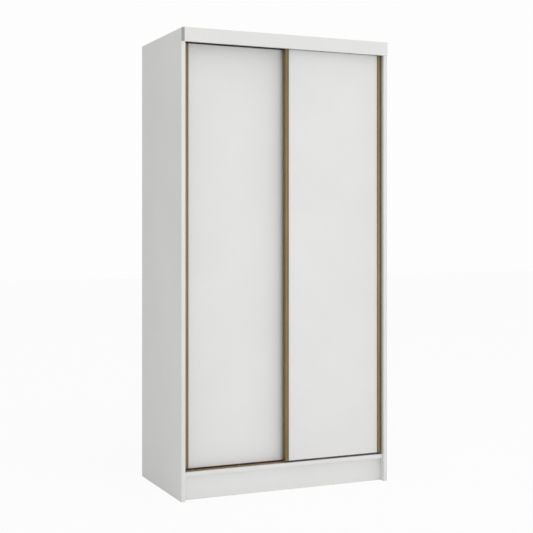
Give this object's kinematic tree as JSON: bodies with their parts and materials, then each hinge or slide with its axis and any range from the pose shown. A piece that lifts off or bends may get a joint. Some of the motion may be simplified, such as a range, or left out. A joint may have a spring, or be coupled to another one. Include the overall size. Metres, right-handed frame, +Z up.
{
  "type": "sliding door wardrobe",
  "caption": "Tall flat-packed wardrobe with two overlapping sliding doors in metal stiles, hanging space, hat shelf and adjustable shelves.",
  "frame": {"origin": "on the floor, in the middle of the footprint", "axes": "+X to the right seen from the front, +Y to the back, +Z up"},
  "size_m": [1, 0.568, 2.01],
  "materials": {
    "white_board": "white melamine-faced chipboard, satin, fine orange-peel",
    "gold_aluminium": "champagne gold anodised, satin brushed along its length",
    "bronze_aluminium": "dark bronze anodised extrusion",
    "back_board": "white lacquered hardboard",
    "dowel_wood": "fluted beech",
    "zinc_steel": "bright zinc plate",
    "chrome_steel": "chrome plate",
    "zinc_casting": "die-cast zinc",
    "white_plastic": "moulded white plastic",
    "nylon": "natural nylon, turned tread",
    "grey_plastic": "moulded grey plastic",
    "black_rubber": "moulded rubber",
    "pile": "woven pile weather strip"
  },
  "bodies": {
    "carcass": {"left_side_panel": "white_board", "right_side_panel": "white_board", "top_panel": "white_board", "base_panel": "white_board", "partition": "white_board", "plinth_front": "white_board", "plinth_rear": "white_board", "plinth_stretcher": "white_board", "fascia": "white_board", "hat_shelf": "white_board", "fixed_shelf": "white_board", "shelf_1": "white_board", "shelf_2": "white_board", "shelf_3": "white_board", "shelf_4": "white_board", "shelf_pins": "zinc_steel", "cam_locks": "zinc_casting", "cam_bolts": "zinc_steel", "dowels": "dowel_wood", "plinth_blocks": "white_plastic", "carcass_screws": "zinc_steel", "back_panel_left": "back_board", "back_panel_right": "back_board", "back_nails": "zinc_steel", "floor_glides": "grey_plastic", "wall_brackets": "zinc_steel", "fascia_brackets": "zinc_steel", "hanging_rail": "chrome_steel", "rail_supports": "chrome_steel", "bottom_track": "gold_aluminium", "track_screws": "zinc_steel", "top_track": "bronze_aluminium", "door_stops": "black_rubber"},
    "left_door": {"left_door_panel": "white_board", "left_door_outer_stile": "gold_aluminium", "left_door_inner_stile": "gold_aluminium", "left_door_roller_housings": "grey_plastic", "left_door_axles": "zinc_steel", "left_door_guide_housings": "grey_plastic", "left_door_pile_seals": "pile", "left_door_screws": "zinc_steel"},
    "right_door": {"right_door_panel": "white_board", "right_door_outer_stile": "gold_aluminium", "right_door_inner_stile": "gold_aluminium", "right_door_roller_housings": "grey_plastic", "right_door_axles": "zinc_steel", "right_door_guide_housings": "grey_plastic", "right_door_pile_seals": "pile", "right_door_screws": "zinc_steel"},
    "left_door_wheel_left_body": {"left_door_wheel_left": "nylon"},
    "left_door_guide_left_body": {"left_door_guide_left": "grey_plastic"},
    "left_door_wheel_right_body": {"left_door_wheel_right": "nylon"},
    "left_door_guide_right_body": {"left_door_guide_right": "grey_plastic"},
    "right_door_wheel_left_body": {"right_door_wheel_left": "nylon"},
    "right_door_guide_left_body": {"right_door_guide_left": "grey_plastic"},
    "right_door_wheel_right_body": {"right_door_wheel_right": "nylon"},
    "right_door_guide_right_body": {"right_door_guide_right": "grey_plastic"}
  },
  "joints": [
    {"name": "left_door_slide", "type": "slide", "parent": "carcass", "child": "left_door", "axis": [1, 0, 0], "range_m": [-0.01, 0.461]},
    {"name": "right_door_slide", "type": "slide", "parent": "carcass", "child": "right_door", "axis": [1, 0, 0], "range_m": [-0.471, 0]},
    {"name": "left_door_wheel_left_spin", "type": "hinge", "parent": "left_door", "child": "left_door_wheel_left_body", "pos_m": [-0.4095, -0.205, 0.1388], "axis": [0, 1, 0], "continuous": true},
    {"name": "left_door_guide_left_retract", "type": "slide", "parent": "left_door", "child": "left_door_guide_left_body", "axis": [0, 0, 1], "range_m": [-0.0145, 0], "stiffness_N_per_m": 150, "springref_m": 0.01},
    {"name": "left_door_wheel_right_spin", "type": "hinge", "parent": "left_door", "child": "left_door_wheel_right_body", "pos_m": [-0.0415, -0.205, 0.1388], "axis": [0, 1, 0], "continuous": true},
    {"name": "left_door_guide_right_retract", "type": "slide", "parent": "left_door", "child": "left_door_guide_right_body", "axis": [0, 0, 1], "range_m": [-0.0145, 0], "stiffness_N_per_m": 150, "springref_m": 0.01},
    {"name": "right_door_wheel_left_spin", "type": "hinge", "parent": "right_door", "child": "right_door_wheel_left_body", "pos_m": [0.0515, -0.236, 0.1388], "axis": [0, 1, 0], "continuous": true},
    {"name": "right_door_guide_left_retract", "type": "slide", "parent": "right_door", "child": "right_door_guide_left_body", "axis": [0, 0, 1], "range_m": [-0.0145, 0], "stiffness_N_per_m": 150, "springref_m": 0.01},
    {"name": "right_door_wheel_right_spin", "type": "hinge", "parent": "right_door", "child": "right_door_wheel_right_body", "pos_m": [0.4195, -0.236, 0.1388], "axis": [0, 1, 0], "continuous": true},
    {"name": "right_door_guide_right_retract", "type": "slide", "parent": "right_door", "child": "right_door_guide_right_body", "axis": [0, 0, 1], "range_m": [-0.0145, 0], "stiffness_N_per_m": 150, "springref_m": 0.01}
  ],
  "couplings": [
    {"joint": "left_door_wheel_left_spin", "follows": "left_door_slide", "rad_per_m": 90.909},
    {"joint": "left_door_wheel_right_spin", "follows": "left_door_slide", "rad_per_m": 90.909},
    {"joint": "right_door_wheel_left_spin", "follows": "right_door_slide", "rad_per_m": 90.909},
    {"joint": "right_door_wheel_right_spin", "follows": "right_door_slide", "rad_per_m": 90.909}
  ]
}
